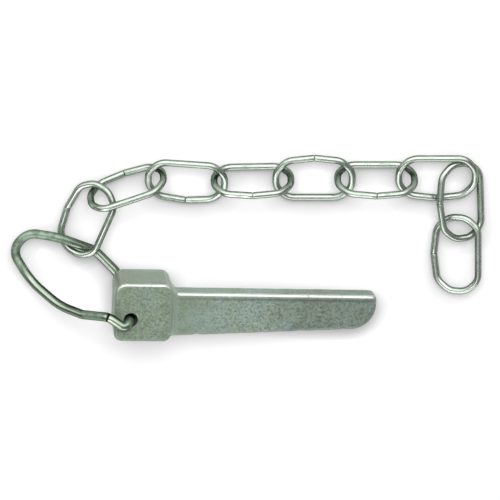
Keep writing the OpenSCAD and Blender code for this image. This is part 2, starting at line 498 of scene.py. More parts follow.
@dataclass
class BentWire:
    """A round wire through a row of stops, with two cut ends.

    A mitre is the normal of the plane that both ends are cut on; without it they are square.
    A bend has a ring of points every bend_step degrees, and a straight every run_step. The
    ends' edges are broken by cut_edge.
    """

    stops: Sequence[Stop]
    thickness: float
    mitre: Vector | None = None
    sides: int = 28
    bend_step: float = 6.0
    run_step: float = 2.4
    cut_edge: float = 0.3
    cut_steps: int = 3

    def _at(self, index: int) -> Vector:
        """Returns the place of a stop."""
        return self.stops[index].at

    def _turn(self, index: int) -> float:
        """Measures how far the wire turns at a stop.

        Args:
            index: place of the stop in the row.

        Returns:
            The angle in radians.
        """
        if index in (0, len(self.stops) - 1):
            return 0.0
        into = self._at(index) - self._at(index - 1)
        return into.angle(self._at(index + 1) - self._at(index))

    def _cut(self, index: int) -> float:
        """Returns how much of a straight the bend at a stop takes."""
        return self.stops[index].bend * math.tan(self._turn(index) / 2)

    def _run(self, mesh: bmesh.types.BMesh, rim: Edges, way: Vector, length: float) -> Edges:
        """Pushes the rim straight on, in even steps.

        Args:
            mesh: the wire's mesh.
            rim: the edges of the open end.
            way: unit direction of the run.
            length: its length.

        Returns:
            The edges of the new open end.
        """
        steps = max(1, round(length / self.run_step))
        for _ in range(steps):
            made = bmesh.ops.extrude_edge_only(mesh, edges=rim)["geom"]
            verts = [item for item in made if isinstance(item, bmesh.types.BMVert)]
            bmesh.ops.translate(mesh, vec=way * (length / steps), verts=verts)
            tips = set(verts)
            rim = [
                item for item in made
                if isinstance(item, bmesh.types.BMEdge) and all(v in tips for v in item.verts)
            ]
        return rim

    def _bend(self, mesh: bmesh.types.BMesh, rim: Edges, index: int) -> Edges:
        """Spins the rim round the bend at a stop.

        Args:
            mesh: the wire's mesh.
            rim: the edges of the open end.
            index: place of the stop in the row.

        Returns:
            The edges of the new open end.
        """
        turn = self._turn(index)
        into = (self._at(index) - self._at(index - 1)).normalized()
        out = (self._at(index + 1) - self._at(index)).normalized()
        bend = self.stops[index].bend
        centre = self._at(index) + (out - into).normalized() * bend / math.cos(turn / 2)
        made = bmesh.ops.spin(
            mesh, geom=rim, cent=centre, axis=into.cross(out).normalized(), dvec=(0, 0, 0),
            angle=turn, steps=max(2, round(math.degrees(turn) / self.bend_step)),
            use_duplicate=False,
        )
        return [item for item in made["geom_last"] if isinstance(item, bmesh.types.BMEdge)]

    def _cap(self, mesh: bmesh.types.BMesh, rim: Edges, end: Vector, way: Vector) -> None:
        """Closes a cut end with a flat face and breaks its sharp edge.

        Args:
            mesh: the wire's mesh.
            rim: the edges of the open end.
            end: the middle of the end.
            way: unit direction in which the wire leaves it.
        """
        if self.mitre is not None:
            far = way.dot(self.mitre)
            middle = end + way * (self.thickness / 2 * math.tan(way.angle(self.mitre * far)))
            for vert in {v for edge in rim for v in edge.verts}:
                vert.co += way * ((middle - vert.co).dot(self.mitre) / far)
        bmesh.ops.edgeloop_fill(mesh, edges=rim)
        bmesh.ops.bevel(
            mesh, geom=rim, offset=self.cut_edge, offset_type="OFFSET", segments=self.cut_steps,
            profile=0.5, affect="EDGES", material=-1,
        )

    def build(self) -> bmesh.types.BMesh:
        """Draws the wire from stop to stop and closes its ends.

        Returns:
            The wire's mesh in the frame of its stops.
        """
        mesh = bmesh.new()
        count = len(self.stops)
        way = (self._at(1) - self._at(0)).normalized()
        facing = way.to_track_quat("Z", "Y").to_matrix().to_4x4()
        bmesh.ops.create_circle(
            mesh, cap_ends=False, segments=self.sides, radius=self.thickness / 2,
            matrix=Matrix.Translation(self._at(0)) @ facing,
        )
        first = mesh.edges[:]
        rim = list(first)
        for index in range(count - 1):
            span = self._at(index + 1) - self._at(index)
            length = span.length - self._cut(index) - self._cut(index + 1)
            rim = self._run(mesh, rim, span.normalized(), length)
            if index < count - 2:
                rim = self._bend(mesh, rim, index + 1)
        last = (self._at(count - 1) - self._at(count - 2)).normalized()
        self._cap(mesh, rim, self._at(count - 1), last)
        self._cap(mesh, first, self._at(0), -way)
        bmesh.ops.recalc_face_normals(mesh, faces=mesh.faces[:])
        return mesh


def flank_shade(mesh: bmesh.types.BMesh) -> None:
    """Marks the share of painted shade at each point of a piece, by how far it has turned from
    its upper side.

    Args:
        mesh: the piece as it lies on the floor.
    """
    mesh.normal_update()
    mark = mesh.verts.layers.float.new("flank_shade")
    for vert in mesh.verts:
        # Painted shade: the flanks darken as their normal turns from straight up.
        turned = (UNSHADED_DOWN_TO - vert.normal.z) / (UNSHADED_DOWN_TO - FULLY_SHADED_FROM)
        vert[mark] = min(1.0, max(0.0, turned))


def roughen(mesh: bmesh.types.BMesh, depth: float, grain: float, seed: float = 0.0) -> None:
    """Moves every vertex along its normal by smooth noise.

    Args:
        mesh: the mesh to change.
        depth: the largest move, in millimetres.
        grain: size of the unevenness, in millimetres.
        seed: offset that gives each piece a surface of its own.
    """
    mesh.normal_update()
    shift = Vector((seed, SEED_SKEW * seed, -seed))
    moves = [(v, v.normal * noise.noise(v.co / grain + shift) * depth) for v in mesh.verts]
    for vert, move in moves:
        vert.co += move


# ---- the pieces ----


@dataclass(frozen=True)
class Dent:
    """A shallow hollow in the pin's skin, placed in the pin's own frame."""

    at: tuple[float, float, float]
    radius: float
    depth: float


# Along the blade, and then on the head: place, radius and depth.
PIN_DENTS = (
    Dent((34.5, 0.4, 15.5), 2.2, 0.45),
    Dent((47.0, 18.4, 16.6), 2.4, 0.25),
    Dent((52.0, 6.0, 17.2), 4.5, 0.12),
    Dent((70.0, 18.5, 16.8), 3.0, 0.18),
    Dent((78.0, 1.5, 16.0), 3.5, 0.22),
    Dent((88.5, 12.5, 17.2), 5.0, 0.12),
    Dent((96.0, 2.6, 15.6), 2.6, 0.20),
    Dent((12.5, 15.5, 24.2), 4.2, 0.15),
    Dent((18.0, 6.5, 24.2), 3.4, 0.12),
    Dent((9.5, 24.2, 14.0), 4.0, 0.15),
)


@dataclass
class WedgePin:
    """The pin: a block head and a flat blade that tapers to a rounded tip.

    The blade starts root deep in the head. The collar starts collar_root deep in it, and stops
    collar_inset short of the tapered side. The hole's drill reaches drill_past both faces of
    the head. skin and fine are the two sizes of the forging's unevenness.

    The plating is rubbed bright where the skin's normal leans from its face by worn_lean, and not
    where it turns along the pin by worn_turn; there it also carries a painted highlight, full on
    the straight side, which faces the light, and the share highlight_below on the tapered side.
    The rim is a painted shade line rim_at from the blade's straight side, rim_wide to each side.
    neck_light_fade is how many times the collar's leg its painted light reaches.
    """

    layout: Layout
    root: float = 4.0
    collar_root: float = 1.0
    collar_inset: float = 0.8
    corner_steps: int = 6
    head_edge_steps: int = 4
    blade_edge_steps: int = 5
    tip_steps: int = 12
    drill_sides: int = 48
    drill_past: float = 6.0
    voxel: float = 0.42
    softenings: int = 3
    softening: float = 0.5
    skin_depth: float = 0.07
    skin_grain: float = 3.5
    fine_depth: float = 0.03
    fine_grain: float = 0.9
    fine_seed: float = 9.0
    worn_lean: float = 0.12
    worn_turn: float = 0.9
    highlight_below: float = 0.2
    rim_at: float = 2.4
    rim_wide: float = 0.9
    neck_light_fade: float = 1.4

    @property
    def size(self) -> PinSize:
        """The pin's sizes."""
        return self.layout.pin

    def _block(self, mesh: bmesh.types.BMesh, low: Vector, high: Vector) -> list:
        """Adds a box.

        Args:
            mesh: the mesh to add it to.
            low: its corner with the smallest coordinates.
            high: its corner with the largest coordinates.

        Returns:
            Its vertices.
        """
        span = high - low
        place = Matrix.Translation((low + high) / 2) @ Matrix.Diagonal((*span, 1))
        return bmesh.ops.create_cube(mesh, size=1, matrix=place)["verts"]

    def _upright(self, mesh: bmesh.types.BMesh, x: float, y: float) -> Edges:
        """Finds the upright edges of a block at one corner of its plan.

        Args:
            mesh: the block's mesh.
            x: place of the corner along the pin.
            y: its place across the pin.

        Returns:
            The edges.
        """
        spot = Vector((x, y))
        return [
            edge for edge in mesh.edges
            if all((vert.co.xy - spot).length < TOUCHING for vert in edge.verts)
        ]

    def _flat_rims(self, mesh: bmesh.types.BMesh, low: float, high: float) -> Edges:
        """Finds the edges round a block's lower and upper faces.

        Args:
            mesh: the block's mesh.
            low: height of the lower face.
            high: height of the upper face.

        Returns:
            The edges.
        """
        return [
            edge for edge in mesh.edges
            if any(all(abs(v.co.z - z) < TOUCHING for v in edge.verts) for z in (low, high))
        ]

    def head(self) -> bmesh.types.BMesh:
        """Shapes the head block.

        Returns:
            Its mesh in the pin's frame.
        """
        size = self.size
        mesh = bmesh.new()
        far = Vector((size.head_long, size.head_wide, size.head))
        self._block(mesh, Vector((0, 0, 0)), far)
        corners = (
            (0, 0, size.flush_corner), (far.x, 0, size.root_corner),
            (far.x, far.y, size.root_corner), (0, far.y, size.far_corner),
        )
        for x, y, radius in corners:
            round_edges(mesh, self._upright(mesh, x, y), radius, self.corner_steps)
        rims = self._flat_rims(mesh, 0, size.head)
        round_edges(mesh, rims, size.head_edge, self.head_edge_steps)
        return mesh

    def blade(self) -> bmesh.types.BMesh:
        """Shapes the blade, rooted inside the head.

        Returns:
            Its mesh in the pin's frame.
        """
        size = self.size
        mesh = bmesh.new()
        low = Vector((size.head_long - self.root, size.blade_inset, size.step))
        high = Vector((size.length, size.blade_top, size.step + size.blade_thick))
        verts = self._block(mesh, low, high)
        tip_low = size.blade_top - size.tip_wide
        for vert in verts:
            if vert.co.x > size.head_long and vert.co.y < size.blade_top / 2:
                vert.co.y = tip_low
        tip_corners = (
            (tip_low, size.tip_round, self.tip_steps),
            (size.blade_top, size.tip_sharp, self.blade_edge_steps),
        )
        for y, radius, steps in tip_corners:
            round_edges(mesh, self._upright(mesh, size.length, y), radius, steps)
        rims = self._flat_rims(mesh, size.step, size.step + size.blade_thick)
        round_edges(mesh, rims, size.blade_edge, self.blade_edge_steps)
        return mesh

    def neck(self) -> bmesh.types.BMesh:
        """Shapes a short collar that fills the corner between blade and head.

        Returns:
            Its mesh in the pin's frame.
        """
        size, leg = self.size, self.size.neck
        mesh = bmesh.new()
        low = Vector((
            size.head_long - self.collar_root, size.blade_inset + self.collar_inset,
            size.step - leg,
        ))
        high = Vector((size.head_long, size.blade_top + leg, size.head - size.step + leg))
        self._block(mesh, low, high)
        front = [face for face in mesh.faces if face.normal.x > FACING]
        made = bmesh.ops.extrude_discrete_faces(mesh, faces=front)["faces"][0]
        bmesh.ops.translate(mesh, vec=(leg, 0, 0), verts=made.verts[:])
        centre = made.calc_center_median()
        for vert in made.verts:
            vert.co.z += leg if vert.co.z < centre.z else -leg
            vert.co.y -= leg if vert.co.y > centre.y else 0
        return mesh

    def _drill(self) -> bpy.types.Object:
        """Makes the round cutter for the hole through the head.

        Returns:
            The cutter, which reaches past both faces of the head.
        """
        size = self.size
        mesh = bmesh.new()
        place = Matrix.Translation((size.hole_from_end, size.hole_from_side, size.head / 2))
        bmesh.ops.create_cone(
            mesh, cap_ends=True, segments=self.drill_sides, radius1=size.hole / 2,
            radius2=size.hole / 2, depth=size.head + 2 * self.drill_past, matrix=place,
        )
        return finish_mesh("hole_cutter", mesh)

    def _joined(self, meshes: Sequence[bmesh.types.BMesh]) -> bpy.types.Object:
        """Puts several closed meshes into one object.

        Args:
            meshes: the meshes, which are freed.

        Returns:
            The object.
        """
        whole = bmesh.new()
        for mesh in meshes:
            bmesh.ops.recalc_face_normals(mesh, faces=mesh.faces[:])
            data = bpy.data.meshes.new("part_of_pin")
            mesh.to_mesh(data)
            mesh.free()
            whole.from_mesh(data)
            bpy.data.meshes.remove(data)
        return finish_mesh("pin_body", whole)

    def _remesh(self, made: bpy.types.Object) -> None:
        """Melts an object's closed shells into one even skin.

        Args:
            made: the object.
        """
        modifier = made.modifiers.new("skin", "REMESH")
        modifier.mode = "VOXEL"
        modifier.voxel_size = self.voxel * MM
        apply_modifiers(made)

    def _cut_hole(self, made: bpy.types.Object) -> None:
        """Drills the hole through the head.

        Args:
            made: the pin.
        """
        cutter = self._drill()
        modifier = made.modifiers.new("hole", "BOOLEAN")
        modifier.operation = "DIFFERENCE"
        modifier.solver = "EXACT"
        modifier.object = cutter
        apply_modifiers(made)
        bpy.data.objects.remove(cutter)

    def _rubbing_and_highlight(self, vert: bmesh.types.BMVert) -> float:
        """Works out how far the plating is rubbed bright at a point of the skin.

        Args:
            vert: a point in the pin's own frame.

        Returns:
            A share of rubbed brightness and painted highlight, from 0 on the flats and in the
            neck to 1 on the long edges that face the straight side.
        """
        size, way = self.size, vert.normal
        if abs(vert.co.x - size.head_long - size.neck / 2) < size.neck:
            return 0.0
        rounding = min(1.0, (1 - max(abs(way.y), abs(way.z))) / self.worn_lean)
        along = max(0.0, 1 - abs(way.x) / self.worn_turn)
        # The straight side, which faces the light, takes the full painted highlight; the tapered
        # side only a share.
        return rounding * along * (1.0 if way.y > 0 else self.highlight_below)

    def _dent(self, vert: bmesh.types.BMVert) -> None:
        """Sinks a point of the skin where a dent reaches it.

        Args:
            vert: a point in the pin's own frame.
        """
        for dent in PIN_DENTS:
            near = 1 - (vert.co - Vector(dent.at)).length / dent.radius
            if near > 0:
                vert.co -= vert.normal * dent.depth * near * near * (3 - 2 * near)

    def _weather(self, made: bpy.types.Object) -> None:
        """Softens the skin, adds the forging's unevenness and dents, and lays it down.

        Args:
            made: the pin.
        """
        size = self.size
        mesh = bmesh.new()
        mesh.from_mesh(made.data)
        bmesh.ops.scale(mesh, vec=(1 / MM,) * 3, verts=mesh.verts[:])
        for _ in range(self.softenings):
            bmesh.ops.smooth_vert(
                mesh, verts=mesh.verts[:], factor=self.softening, use_axis_x=True,
                use_axis_y=True, use_axis_z=True,
            )
        mesh.normal_update()
        wear_and_highlight, rim, neck = (mesh.verts.layers.float.new(name) for name in ("wear_and_highlight", "rim", "neck"))
        for vert in mesh.verts:
            past_neck = vert.co.x - size.head_long - size.neck
            # The rim mark is a painted shade line on the blade's face beside its straight edge.
            beside = abs(size.blade_top - vert.co.y - self.rim_at) / self.rim_wide
            from_neck = abs(past_neck + size.neck / 2) / (self.neck_light_fade * size.neck)
            vert[wear_and_highlight] = self._rubbing_and_highlight(vert)
            vert[rim] = max(0.0, 1 - beside) * (past_neck > 0)
            # The neck mark paints light into the collar's hollow beside the head.
            vert[neck] = max(0.0, 1 - from_neck)
            self._dent(vert)
        roughen(mesh, self.skin_depth, self.skin_grain)
        roughen(mesh, self.fine_depth, self.fine_grain, seed=self.fine_seed)
        bmesh.ops.transform(mesh, matrix=self.layout.pin_frame, verts=mesh.verts[:])
        flank_shade(mesh)
        to_metres(mesh)
        mesh.to_mesh(made.data)
        mesh.free()

    def build(self) -> bpy.types.Object:
        """Builds the pin from its head, blade and collar.

        Returns:
            The finished pin.
        """
        made = self._joined([self.head(), self.blade(), self.neck()])
        self._remesh(made)
        self._cut_hole(made)
        self._remesh(made)
        self._weather(made)
        return made


@dataclass
class RetainingRing:
    """The bent wire ring that is threaded through the head."""

    layout: Layout
    unevenness: float = 0.03
    grain: float = 6.0
    seed: float = 3.0

    def build(self) -> bpy.types.Object:
        """Builds the ring.

        Returns:
            The finished ring.
        """
        mesh = BentWire(self.layout.ring_stops(), self.layout.ring.wire).build()
        roughen(mesh, self.unevenness, self.grain, self.seed)
        flank_shade(mesh)
        return finish_mesh("ring_wire", mesh)


@dataclass
class OpenChain:
    """The tether of open links with butt joints."""

    layout: Layout
    unevenness: float = 0.015
    grain: float = 6.0

    def build(self) -> list[bpy.types.Object]:
        """Builds the links one after the other.

        Returns:
            The finished links, from the ring to the free end.
        """
        stops = self.layout.link_stops()
        links = []
        for number, frame in enumerate(self.layout.link_frames(), start=1):
            mesh = BentWire(stops, self.layout.link.wire, mitre=Vector((1, 0, 0))).build()
            roughen(mesh, self.unevenness, self.grain, seed=float(number))
            bmesh.ops.transform(mesh, matrix=frame, verts=mesh.verts[:])
            if frame.determinant() < 0:
                bmesh.ops.reverse_faces(mesh, faces=mesh.faces[:])
            flank_shade(mesh)
            links.append(finish_mesh(f"chain_link_{number}", mesh))
        return links


# ---- finishes ----


class Value:
    """A shader socket that takes part in Python arithmetic."""

    def __init__(self, tree: bpy.types.NodeTree, socket: bpy.types.NodeSocket) -> None:
        """Wraps an output socket of a node tree."""
        self.tree = tree
        self.socket = socket

    def _math(self, operation: str, first: Any, second: Any) -> Value:
        """Adds one Math node.

        Args:
            operation: what it does.
            first: its first operand, a value or a number.
            second: its second operand.

        Returns:
            Its result.
        """
        node = self.tree.nodes.new("ShaderNodeMath")
        node.operation = operation
        for slot, item in zip(node.inputs, (first, second)):
            if isinstance(item, Value):
                self.tree.links.new(item.socket, slot)
            else:
                slot.default_value = item
        return Value(self.tree, node.outputs[0])

    def __add__(self, other: Any) -> Value:
        """Returns the sum."""
        return self._math("ADD", self, other)

    __radd__ = __add__

    def __mul__(self, other: Any) -> Value:
        """Returns the product."""
        return self._math("MULTIPLY", self, other)

    def __rsub__(self, other: Any) -> Value:
        """Returns the difference from another value."""
        return self._math("SUBTRACT", other, self)


class NodeBook:
    """Adds nodes to a material's or a world's tree."""

    def __init__(self, tree: bpy.types.NodeTree) -> None:
        """Empties a node tree and keeps it."""
        self.tree = tree
        self.tree.nodes.clear()

    def node(self, kind: str, settings: dict[str, Any], inputs: dict[Any, Any]) -> bpy.types.Node:
        """Adds a node.

        Args:
            kind: the node's type.
            settings: its properties, set first.
            inputs: values or links of its sockets by name or place.

        Returns:
            The node.
        """
        node = self.tree.nodes.new(kind)
        for key, item in settings.items():
            setattr(node, key, item)
        for key, item in inputs.items():
            self.plug(node.inputs[key], item)
        return node

    def plug(self, slot: bpy.types.NodeSocket, item: Any) -> None:
        """Links a value to an input socket, or sets the socket to a number or colour.

        Args:
            slot: the input socket.
            item: what goes in.
        """
        if isinstance(item, Value):
            self.tree.links.new(item.socket, slot)
        else:
            slot.default_value = item

    def get(self, node: bpy.types.Node, output: Any) -> Value:
        """Returns one of a node's outputs, by name or place."""
        return Value(self.tree, node.outputs[output])

    def ramp(self, value: Value, low: float, high: float, to: Span = (0, 1)) -> Value:
        """Maps a value from one range to another and holds it at its ends.

        Args:
            value: the value.
            low: where it starts.
            high: where it ends, which may be the smaller of the two.
            to: both ends of the new range.

        Returns:
            The mapped value.
        """
        inputs = {"Value": value, 1: low, 2: high, 3: to[0], 4: to[1]}
        return self.get(self.node("ShaderNodeMapRange", {"clamp": True}, inputs), "Result")

    def mixed(self, factor: Value, low: Value, high: Value) -> Value:
        """Returns one shader or the other by a factor."""
        return self.get(self.node("ShaderNodeMixShader", {}, {0: factor, 1: low, 2: high}), 0)


@dataclass(frozen=True)
class Grain:
    """A soft noise whose grains are size millimetres apart, cut between the levels low and high.

    detail is the number of its finer layers, and rough is how strong each is against the last.
    """

    size: float
    low: float = 0.0
    high: float = 1.0
    detail: float = 3.0
    rough: float = 0.5


class Recipe(NodeBook):
    """Builds one node material around a metal shader."""

    def __init__(self, name: str) -> None:
        """Starts an empty material with a metal shader.

        Args:
            name: the material's name.
        """
        self.material = bpy.data.materials.new(name)
        self.material.use_nodes = True
        super().__init__(self.material.node_tree)
        self.shader = self.node("ShaderNodeBsdfPrincipled", {}, {})
        self.surface = self.get(self.shader, "BSDF")
        self.out = self.node("ShaderNodeOutputMaterial", {}, {"Surface": self.surface})
        self.place = self.get(self.node("ShaderNodeTexCoord", {}, {}), "Object")

    def feed(self, name: str, item: Any) -> None:
        """Sets or links a socket of the shader."""
        self.plug(self.shader.inputs[name], item)

    def noise(self, grain: Grain) -> Value:
        """Makes a grain's soft noise.

        Args:
            grain: its size and character.

        Returns:
            The noise before it is cut between the grain's levels.
        """
        inputs = {
            "Vector": self.place, "Scale": 1 / MM / grain.size, "Detail": grain.detail,
            "Roughness": grain.rough,
        }
        return self.get(self.node("ShaderNodeTexNoise", {}, inputs), "Fac")

    def grains(self, grain: Grain) -> Value:
        """Returns a grain's noise, cut to run from 0 to 1 between its two levels."""
        return self.ramp(self.noise(grain), grain.low, grain.high)

    def mark(self, name: str) -> Value:
        """Returns a number kept on the mesh's points."""
        return self.get(self.node("ShaderNodeAttribute", {"attribute_name": name}, {}), "Fac")

    def near(self, spot: Vector, radius: float) -> Value:
        """Marks the surroundings of a spot.

        Args:
            spot: the spot in the floor's frame, in millimetres.
            radius: how far the mark reaches.

        Returns:
            A value of 1 at the spot that fades to 0 at the radius.
        """
        inputs = {0: self.place, 1: spot * MM}
        node = self.node("ShaderNodeVectorMath", {"operation": "DISTANCE"}, inputs)
        return self.ramp(self.get(node, "Value"), radius * MM, radius * MM * FULL_WITHIN)

    def blend(self, factor: Value, low: Any, high: Any) -> Value:
        """Blends two colours.

        Args:
            factor: share of the second colour.
            low: the first colour, or a value that gives it.
            high: the second colour, or a value that gives it.

        Returns:
            The colour.
        """
        low, high = (item if isinstance(item, Value) else (*item, 1.0) for item in (low, high))
        inputs = {0: factor, 6: low, 7: high}
        return self.get(self.node("ShaderNodeMix", {"data_type": "RGBA"}, inputs), 2)

    def bump(self, height: Value, depth: float, strength: float) -> None:
        """Lets a height tilt the surface.

        Args:
            height: the height, from 0 to 1.
            depth: how many millimetres 1 stands for.
            strength: share of the tilt that is used.
        """
        inputs = {"Height": height, "Distance": depth * MM, "Strength": strength}
        self.feed("Normal", self.get(self.node("ShaderNodeBump", {}, inputs), "Normal"))


@dataclass(frozen=True)
class ForgedZinc:
    """Zinc plating over a forged, lightly pitted surface, rubbed bright at its edges.

    It is pitted and dark round coarse_at, the blade's tip, and yellows round olive_at, on the
    head. Its rubbed edges also carry a painted highlight, with a painted shade line beside them;
    painted shade darkens its flanks, and painted light pales the collar's hollow. Each reach is a
    distance in millimetres, and each word in -ing is the share by which a colour shows.
    """

    coarse_at: Vector
    olive_at: Vector
    coarse_reach: float = 80.0
    dark_reach: float = 42.0
    olive_reach: float = 30.0
    grain_reach: float = 19.0
    name: str = "forged_zinc"
    cool: Colour = (0.32, 0.41, 0.37)
    warm: Colour = (0.305, 0.38, 0.30)
    olive: Colour = (0.255, 0.325, 0.235)
    deep: Colour = (0.10, 0.125, 0.105)
    # pale_and_lit colours the pale grains, and the painted light in the collar's hollow.
    pale_and_lit: Colour = (0.50, 0.59, 0.50)
    # flank is the colour of the painted shade on the flanks.
    flank: Colour = (0.19, 0.25, 0.19)
    edge: Colour = (0.35, 0.42, 0.36)
    # rubbed is the bright colour of the rubbed edges, which also paints their highlight on the
    # side that faces the light.
    rubbed: Colour = (0.70, 0.75, 0.69)
    sheen: float = 0.35
    metallic: float = 0.36
    roughness: float = 0.36
    rubbed_roughness: float = 0.24
    least_coarse: float = 0.18
    coarse_on_olive: float = 0.6
    patches: Grain = Grain(9.0, 0.42, 0.58)
    clouds: Grain = Grain(4.0, 0.46, 0.66, 4, 0.6)
    dark_grain: Grain = Grain(1.0, 0.48, 0.62, 2, 0.6)
    pale_grain: Grain = Grain(0.8, 0.52, 0.66, 2, 0.6)
    rubbed_grain: Grain = Grain(2.2, 0.16, 0.40)
    pits: Grain = Grain(1.3, detail=4, rough=0.6)
    pit_depth: float = 0.10
    pit_strength: float = 0.6
    edge_shade_sets_in: Span = (0.04, 0.16)
    edge_shade_ends: Span = (0.5, 0.2)
    olive_in_patches: float = 0.4
    beside_coarse: float = 0.7
    beside_plain: float = 0.1
    clouding: float = 0.2
    tip_clouding: float = 0.25
    dark_graining: float = 0.6
    pale_graining: float = 0.5
    tip_darkening: float = 0.38
    flank_shading: float = 0.2
    edge_shade_darkening: float = 0.5
    neck_painted_light: float = 0.55

    def make(self) -> bpy.types.Material:
        """Mixes the finish.

        Returns:
            The material.
        """
        recipe = Recipe(self.name)
        coarse = recipe.ramp(
            recipe.near(self.coarse_at, self.coarse_reach), 0, 1, (self.least_coarse, 1.0)
        )
        coarse = coarse + recipe.near(self.olive_at, self.grain_reach) * self.coarse_on_olive
        shaded = recipe.near(self.coarse_at, self.dark_reach)
        patches = recipe.grains(self.patches)
        clouds = recipe.grains(self.clouds)
        in_patches = patches * -self.olive_in_patches + 1.0
        yellowed = recipe.near(self.olive_at, self.olive_reach) * in_patches
        dark_grains = recipe.grains(self.dark_grain) * coarse
        pale_grains = recipe.grains(self.pale_grain) * coarse
        rubbing_and_highlight = recipe.mark("wear_and_highlight")
        wear_and_highlight = rubbing_and_highlight * recipe.grains(self.rubbed_grain)
        # A painted shade line where the rubbed, highlighted edge meets the flat face.
        rim = recipe.ramp(rubbing_and_highlight, *self.edge_shade_sets_in) * recipe.ramp(rubbing_and_highlight, *self.edge_shade_ends)
        # A painted shade line beside the blade's straight edge, darker towards the tip.
        beside = recipe.mark("rim") * (coarse * self.beside_coarse + self.beside_plain)
        layers = (
            (yellowed, self.olive),
            (clouds * (shaded * self.tip_clouding + self.clouding), self.deep),
            (dark_grains * self.dark_graining, self.deep),
            (pale_grains * self.pale_graining, self.pale_and_lit),
            (shaded * self.tip_darkening, self.deep),
            # Painted shade on the flanks.
            (recipe.mark("flank_shade") * self.flank_shading, self.flank),
            (rim * self.edge_shade_darkening, self.deep),
            (beside, self.deep),
            # Painted light in the collar's hollow beside the head.
            (recipe.mark("neck") * self.neck_painted_light, self.pale_and_lit),
            (wear_and_highlight, self.rubbed),
        )
        body = recipe.blend(patches, self.warm, self.cool)
        for share, colour in layers:
            body = recipe.blend(share, body, colour)
        recipe.feed("Base Color", body)
        recipe.feed("Metallic", self.metallic + wear_and_highlight * (1 - self.metallic))
        recipe.feed("Roughness", self.roughness - wear_and_highlight * (self.roughness - self.rubbed_roughness))
        recipe.feed("Specular Tint", (*self.edge, 1.0))
        recipe.feed("Specular IOR Level", self.sheen)
        recipe.bump(recipe.noise(self.pits) * coarse, self.pit_depth, self.pit_strength)
        return recipe.material


@dataclass(frozen=True)
class WireZinc:
    """Zinc plating on drawn wire, bright or dulled in places.

    dulling is the share of haze all over, and dull_spots are places with the reach in millimetres
    of the haze round them. edge is the tint of its grazing reflections, and flank the colour of
    the painted shade on its flanks, which its dull mottle also takes.
    """

    name: str
    bright: Colour
    dull: Colour
    edge: Colour
    flank: Colour
    roughness: float
    dulling: float = 0.0
    dull_spots: tuple[tuple[Vector, float], ...] = ()
    metallic: float = 0.9
    haze: Grain = Grain(6.0, 0.42, 0.66)
    streaks: Grain = Grain(0.9, 0.45, 0.75, 4, 0.6)
    mottle: Grain = Grain(2.6, 0.44, 0.60)
    waves: Grain = Grain(2.6, detail=2)
    wave_depth: float = 0.04
    wave_strength: float = 0.12
    haze_over_shade: float = 0.5
    mottling: float = 0.45
    haze_roughness: float = 0.34
    streak_roughness: float = 0.07

    def make(self) -> bpy.types.Material:
        """Mixes the finish.

        Returns:
            The material.
        """
        recipe = Recipe(self.name)
        haze = recipe.grains(self.haze) * self.dulling
        for spot, radius in self.dull_spots:
            haze = haze + recipe.near(spot, radius)
        haze = recipe.ramp(haze, 0.0, 1.0)
        streaks = recipe.grains(self.streaks)
        body = recipe.blend(haze, self.bright, self.dull)
        # Painted shade on the wire's flanks, weaker where it is hazed.
        turned = recipe.mark("flank_shade") * (haze * -self.haze_over_shade + 1.0)
        mottle = recipe.grains(self.mottle) * haze * self.mottling
        body = recipe.blend(mottle, body, self.flank)
        rough = self.roughness + haze * self.haze_roughness + streaks * self.streak_roughness
        recipe.feed("Base Color", recipe.blend(turned, body, self.flank))
        recipe.feed("Metallic", self.metallic)
        recipe.feed("Specular Tint", (*self.edge, 1.0))
        recipe.feed("Roughness", rough)
        recipe.bump(recipe.noise(self.waves), self.wave_depth, self.wave_strength)
        return recipe.material


# ---- the studio ----


@dataclass(frozen=True)
class SoftLamp:
    """A soft rectangular lamp that faces the object. Its place and size are in metres."""

    name: str
    at: tuple[float, float, float]
    wide: float
    deep: float
    power: float

    def hang(self) -> None:
        """Hangs the lamp, unseen by the camera and in reflections."""
        data = bpy.data.lights.new(self.name, "AREA")
        data.shape = "RECTANGLE"
        data.size = self.wide
        data.size_y = self.deep
        data.energy = self.power
        made = bpy.data.objects.new(self.name, data)
        at = Vector(self.at)
        facing = at.to_track_quat("Z", "Y").to_matrix().to_4x4()
        made.matrix_world = Matrix.Translation(at) @ facing
        made.visible_camera = False
        made.visible_glossy = False
        bpy.context.scene.collection.objects.link(made)


@dataclass(frozen=True)
class Softbox:
    """A bright patch of the room in reflections, between two unit directions in plan.

    low and high are the ends of its X and Y, glow is its strength, and soft is the width of its
    fading rim.
    """

    low: Span
    high: Span
    glow: float
    soft: float = 0.08

    def shine(self, book: NodeBook, axes: bpy.types.Node, above: Span) -> Value:
        """Draws the patch on the room's walls.

        Args:
            book: the world's nodes.
            axes: the node that gives the direction's X, Y and Z.
            above: the directions' Z between which it sets in.

        Returns:
            Its brightness.
        """
        glow = book.ramp(book.get(axes, "Z"), *above) * self.glow
        for axis, low, high in zip("XY", self.low, self.high):
            place = book.get(axes, axis)
            glow = glow * book.ramp(place, low - self.soft, low + self.soft)
            glow = glow * book.ramp(place, high + self.soft, high - self.soft)
        return glow


